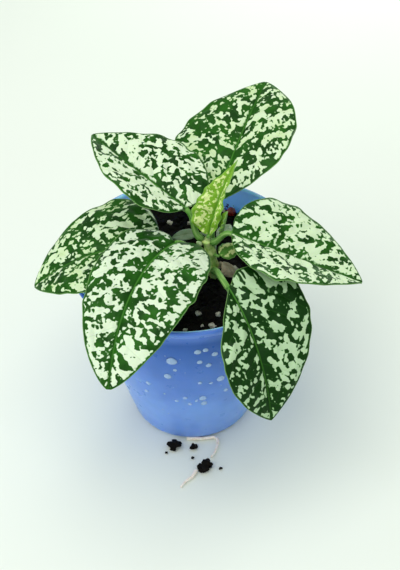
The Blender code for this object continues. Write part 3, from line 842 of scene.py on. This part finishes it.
class PLANT_OT_soil(bpy.types.Operator):
    """Fill the pot with uneven potting soil"""

    bl_idname = "plant.soil"
    bl_label = "Soil"

    def execute(self, context):
        top = mm(settings().soil_top)
        edge = inner_radius(top) - 0.35
        low = BASE_THICKNESS + 0.3
        profile = [(0, low), (10, low), (inner_radius(low) - 2.9, low),
                   (inner_radius(low + 2.2) - 1.1, low + 2.2),
                   (inner_radius(top / 2) - 0.45, top / 2), (edge, top)]
        rings = 84
        profile += [(edge * (1 - (i / rings)), top) for i in range(1, rings + 1)]
        bm = bmesh.new()
        lathe(bm, profile, 200)
        for vert in bm.verts:
            if vert.co.z > top - 0.01:
                vert.co.z = soil_height(vert.co.x, vert.co.y)
        finish_piece(bm, "potting_soil", ["soil"], soil_material())
        return {"FINISHED"}


class PLANT_OT_grit(bpy.types.Operator):
    """Scatter loose grains of soil and bark over the soil"""

    bl_idname = "plant.grit"
    bl_label = "Grit"

    def execute(self, context):
        draw = Random(7)
        bm = bmesh.new()
        limit = inner_radius(mm(settings().soil_top)) - 1.6
        for i in range(settings().grit):
            bearing, away = draw.uniform(0, 2 * pi), limit * sqrt(draw.random())
            x, y = away * cos(bearing), away * sin(bearing)
            size = 0.28 + 0.75 * draw.random() ** 3
            half = [size * draw.uniform(*ends) for ends in ((0.8, 1.7), (0.6, 1.0), (0.4, 0.8))]
            lump(bm, (x, y, soil_height(x, y) + size * 0.25), half, 0.6, i, 1, draw.uniform(0, pi))
        finish_piece(bm, "soil_grit", None, soil_material("bark_and_peat_grains"))
        return {"FINISHED"}


class PLANT_OT_perlite(bpy.types.Operator):
    """Lay the white grains of perlite on the soil"""

    bl_idname = "plant.perlite"
    bl_label = "Perlite"

    def execute(self, context):
        bm = bmesh.new()
        names = nodes_named("perlite_")
        for i, name in enumerate(names):
            middle, half = middle_and_half(name)
            middle.z = soil_height(middle.x, middle.y) + half.z * 0.45
            lump(bm, middle, half, 0.7, i + 1, 3, i)
        finish_piece(bm, "perlite_grains", names, perlite_material())
        return {"FINISHED"}


class PLANT_OT_prill(bpy.types.Operator):
    """Lay the red fertiliser bead on the soil"""

    bl_idname = "plant.prill"
    bl_label = "Fertiliser bead"

    def execute(self, context):
        bm = bmesh.new()
        middle, half = middle_and_half("prill")
        middle.z = soil_height(middle.x, middle.y) + half.z * 0.8
        lump(bm, middle, half, 0.08, 4, 4)
        finish_piece(bm, "fertiliser_bead", ["prill"], prill_material())
        return {"FINISHED"}


CRUMB_LIFT = 0.02


class PLANT_OT_crumbs(bpy.types.Operator):
    """Lay the crumbs of soil at the foot of the pot"""

    bl_idname = "plant.crumbs"
    bl_label = "Crumbs"

    def execute(self, context):
        bm = bmesh.new()
        draw = Random(19)
        names = nodes_named("crumb_")
        for i, name in enumerate(names):
            middle, half = middle_and_half(name)
            for k in range(7 if half.x > 1 else 2):
                part = 1.0 if k == 0 else draw.uniform(0.35, 0.6)
                shift = Vector((draw.uniform(-1, 1), draw.uniform(-1, 1), 0)) * (0.0 if k == 0 else 0.75)
                size = half * part * 0.86
                height = max(size.z * 1.25, middle.z * part * 0.9)
                centre = (middle.x + shift.x * half.x, middle.y + shift.y * half.y, height)
                lump(bm, centre, size, 0.75, i * 9 + k, 3, draw.uniform(0, pi))
        for vert in bm.verts:
            vert.co.z = max(vert.co.z, CRUMB_LIFT)
        finish_piece(bm, "soil_crumbs", names, soil_material("loose_soil_crumbs"))
        return {"FINISHED"}


ROOT_RADIUS, ROOT_HEIGHT, ROOT_SWAY, ROOT_SIDES = 0.68, 0.75, 0.14, 14


class PLANT_OT_roots(bpy.types.Operator):
    """Lay the roots that left the pot through its drain holes"""

    bl_idname = "plant.roots"
    bl_label = "Roots"

    def execute(self, context):
        skin = plain_plant_material("damp_root", "#FBF6EE", "#E9DCCB", 1.2, 0.5, 0.12)
        for name, points in ROOTS.items():
            path = smooth_path([Vector((x, y, ROOT_HEIGHT)) for x, y in points], 10)
            last = len(path) - 1
            rings = []
            for i, (point, way) in enumerate(zip(path, aheads(path))):
                uneven = 1 + 0.16 * noise.noise(Vector((i * 0.45, 3.0, 1.0)))
                radius = ROOT_RADIUS * (1 - 0.5 * i / last) * uneven
                sway = Vector((0, 0, ROOT_SWAY * noise.noise(Vector((i * 0.21, 8.0, 2.0)))))
                rings.append(circle(point + sway, way, Vector((0, 0, 1)), radius, ROOT_SIDES))
            bm = bmesh.new()
            loft(bm, rings)
            finish_piece(bm, name + "_skin", [name], skin)
        return {"FINISHED"}


STEM_SIDES = 28
NODE_SWELL, NODE_REACH = 0.42, 3.2
STEM_RIDGES, STEM_RIDGE_SHARE = 4, 0.06


class PLANT_OT_stem(bpy.types.Operator):
    """Grow the main stem, thicker at each pair of leaves"""

    bl_idname = "plant.stem"
    bl_label = "Stem"

    def execute(self, context):
        steps = 14
        path = smooth_path([Vector(p) for p in STEM_POINTS], steps)
        rings = []
        for i, (point, way) in enumerate(zip(path, aheads(path))):
            part, along = divmod(i, steps)
            ahead = STEM_RADII[min(part + 1, len(STEM_RADII) - 1)]
            radius = STEM_RADII[part] + (ahead - STEM_RADII[part]) * along / steps
            near = min(abs(i - k * steps) for k in (2, 3, 4))
            radius += NODE_SWELL * exp(-(near / NODE_REACH) ** 2)
            ring = circle(point, way, Vector((1, 0, 0)), radius, STEM_SIDES)
            for k, spot in enumerate(ring):
                ridge = 1 + STEM_RIDGE_SHARE * cos(STEM_RIDGES * 2 * pi * k / STEM_SIDES)
                ring[k] = point + (spot - point) * ridge
            rings.append(ring)
        bm = bmesh.new()
        loft(bm, rings)
        skin = plain_plant_material("young_green_stem", "#93BE58", "#D4E39C", 1.8, 0.45, 0.1)
        finish_piece(bm, "main_stem", ["stem"], skin)
        return {"FINISHED"}


class PLANT_OT_leaves(bpy.types.Operator):
    """Grow the six splashed leaves, each with its stalk"""

    bl_idname = "plant.leaves"
    bl_label = "Leaves"

    def execute(self, context):
        for leaf in LEAVES:
            build_leaf(leaf, leaf_material(leaf.look))
        return {"FINISHED"}


class PLANT_OT_young_leaves(bpy.types.Operator):
    """Grow the young, seed and withered leaves near the stem"""

    bl_idname = "plant.young_leaves"
    bl_label = "Small leaves"

    def execute(self, context):
        dead = plain_plant_material("dead_leaf", "#BDB39B", "#998D76", 2.0, 0.8, 0.1)
        seed = plain_plant_material("seed_leaf", "#A9BEA4", "#86A37F", 2.5, 0.5, 0.1)
        looks = {
            "young": (leaf_material("young"), "leaf_young"),
            "small": (leaf_material("small"), "leaf_young"),
            "withered": (dead, "leaf_withered"),
            "seed": (seed, "leaf_pale"),
        }
        for leaf in YOUNG_LEAVES:
            material, slot = looks[leaf.look]
            fine = leaf.length > 20
            build_leaf(leaf, material, 80 if fine else 36, 20 if fine else 12)
        return {"FINISHED"}


class PLANT_OT_buds(bpy.types.Operator):
    """Set the side buds on the stem"""

    bl_idname = "plant.buds"
    bl_label = "Buds"

    def execute(self, context):
        skin = plain_plant_material("bud_scale", "#B9CBA0", "#8FAF6E", 0.9, 0.55, 0.12)
        for name, foot, heading, rise, length, radius in BUDS:
            steps = 14
            profile = [(0, 0)]
            for k in range(1, steps):
                along = k / steps
                profile.append((radius * sqrt(sin(pi * along)) * (1.1 - 0.45 * along), length * along))
            profile.append((0, length))
            bm = bmesh.new()
            lathe(bm, profile, 20)
            for vert in bm.verts:
                turn = 2.0 * vert.co.z
                crease = abs(vert.co.x * cos(turn) + vert.co.y * sin(turn)) / radius
                vert.co.xy *= 1 - 0.18 * exp(-(crease / 0.18) ** 2)
            turned = direction(heading, rise).to_track_quat("Z", "Y").to_matrix().to_4x4()
            bmesh.ops.transform(bm, matrix=Matrix.Translation(foot) @ turned, verts=bm.verts)
            finish_piece(bm, name + "_scales", [name], skin)
        return {"FINISHED"}


# Small drops: lowest and highest place, smallest radius and how much larger they get
DROP_LOW, DROP_HIGH, DROP_SMALL, DROP_SPREAD = 12, 62, 0.18, 0.5
# How far gravity thickens a drop's lower end, how tall it is and how far it stands out, by its radius
DROP_SAG, DROP_TALL, DROP_PROUD = 0.22, 1.12, 0.42


class PLANT_OT_droplets(bpy.types.Operator):
    """Bead water over the outside of the pot"""

    bl_idname = "plant.droplets"
    bl_label = "Droplets"

    def execute(self, context):
        draw = Random(31)
        drops = list(MAIN_DROPS)
        for _ in range(settings().small_drops):
            drops.append((draw.uniform(0, 360), draw.uniform(DROP_LOW, DROP_HIGH),
                          DROP_SMALL + DROP_SPREAD * draw.random() ** 3))
        slope = (wall_radius(60) - wall_radius(0)) / 60
        bm = bmesh.new()
        for bearing, height, radius in drops:
            away = direction(bearing, 0)
            out = Vector((away.x, away.y, -slope)).normalized()
            seat = away * wall_radius(height)
            seat.z = height
            side = Vector((0, 0, 1)).cross(out).normalized()
            up = out.cross(side)
            ball = bmesh.ops.create_icosphere(bm, subdivisions=4 if radius > 0.55 else 2, radius=1.0)
            for vert in ball["verts"]:
                x, y, z = vert.co
                sag = 1 - DROP_SAG * y
                out_by = z * DROP_PROUD * sag + 0.02
                vert.co = seat + radius * (side * x * sag + up * y * DROP_TALL + out * out_by)
        finish_piece(bm, "water_droplets", None, water_material())
        return {"FINISHED"}


# ---- studio

FLOOR_HALF, FLOOR_GAP = 3000.0, 0.05
CAMERA_PLACE = (4.0, -302.4, 330.6)
CAMERA_AIM = (4.0, -7.5, 60.3)
CAMERA_ROLL = -2.4
CAMERA_LENS = 111.8
AIR_COLOR, AIR_STRENGTH = "#EFF4EE", 0.7
LIGHTS = (
    # name, place, aim, size, watts, colour
    ("key", (-100, -120, 700), (0, 0, 60), 560, 2.7, "#FFFDF8"),
    ("side", (-400, -390, 170), (0, 0, 35), 600, 1.0, "#FBFCFF"),
    ("back", (140, 420, 110), (0, 0, 60), 260, 0.5, "#F6FBF6"),
)


def look_at(place, aim, roll=0.0):
    way = (Vector(aim) - Vector(place)).normalized()
    turned = way.to_track_quat("-Z", "Y") @ Quaternion((0, 0, 1), radians(roll))
    return Matrix.Translation(Vector(place) * MM) @ turned.to_matrix().to_4x4()


class PLANT_OT_stage(bpy.types.Operator):
    """Set up the pale floor, the soft lights and the camera"""

    bl_idname = "plant.stage"
    bl_label = "Studio"

    def execute(self, context):
        scene = context.scene
        bm = bmesh.new()
        bmesh.ops.create_grid(bm, x_segments=8, y_segments=8, size=FLOOR_HALF)
        board = mesh_object(bm, "studio_floor", floor_material())
        board.location.z = -FLOOR_GAP * MM
        for name, place, aim, size, watts, color in LIGHTS:
            lamp = bpy.data.lights.new(name + "_softbox", "AREA")
            lamp.shape = "SQUARE"
            lamp.size = size * MM
            lamp.energy = watts
            lamp.color = linear(color)
            new_object(name + "_softbox", lamp).matrix_world = look_at(place, aim)
        world = bpy.data.worlds.new("studio_air")
        world.use_nodes = True
        sky = world.node_tree.nodes["Background"]
        sky.inputs["Color"].default_value = rgba(AIR_COLOR)
        sky.inputs["Strength"].default_value = AIR_STRENGTH
        scene.world = world
        lens = bpy.data.cameras.new("studio_camera")
        lens.sensor_fit = "HORIZONTAL"
        lens.sensor_width = 36.0
        lens.lens = CAMERA_LENS
        lens.clip_start = 0.01
        scene.camera = new_object("studio_camera", lens)
        scene.camera.matrix_world = look_at(CAMERA_PLACE, CAMERA_AIM, CAMERA_ROLL)
        scene.view_settings.view_transform = "Standard"
        return {"FINISHED"}


OPERATORS = (
    PLANT_OT_pot, PLANT_OT_soil, PLANT_OT_grit, PLANT_OT_perlite, PLANT_OT_prill, PLANT_OT_crumbs,
    PLANT_OT_roots, PLANT_OT_stem, PLANT_OT_leaves, PLANT_OT_young_leaves, PLANT_OT_buds,
    PLANT_OT_droplets, PLANT_OT_stage,
)


class PLANT_PT_panel(bpy.types.Panel):
    """Sizes, colours and pieces of the potted plant"""

    bl_label = "Potted plant"
    bl_idname = "PLANT_PT_panel"
    bl_space_type = "VIEW_3D"
    bl_region_type = "UI"
    bl_category = "Plant"

    def draw(self, context):
        for key in PlantSettings.__annotations__:
            self.layout.prop(context.scene.plant, key)
        for operator in OPERATORS:
            self.layout.operator(operator.bl_idname)


CLASSES = (PlantSettings, *OPERATORS, PLANT_PT_panel)


def register():
    for kind in CLASSES:
        bpy.utils.register_class(kind)
    bpy.types.Scene.plant = PointerProperty(type=PlantSettings)


def unregister():
    del bpy.types.Scene.plant
    for kind in reversed(CLASSES):
        bpy.utils.unregister_class(kind)


def main():
    register()
    for operator in OPERATORS:
        family, name = operator.bl_idname.split(".")
        getattr(getattr(bpy.ops, family), name)()


if __name__ == "__main__":
    main()
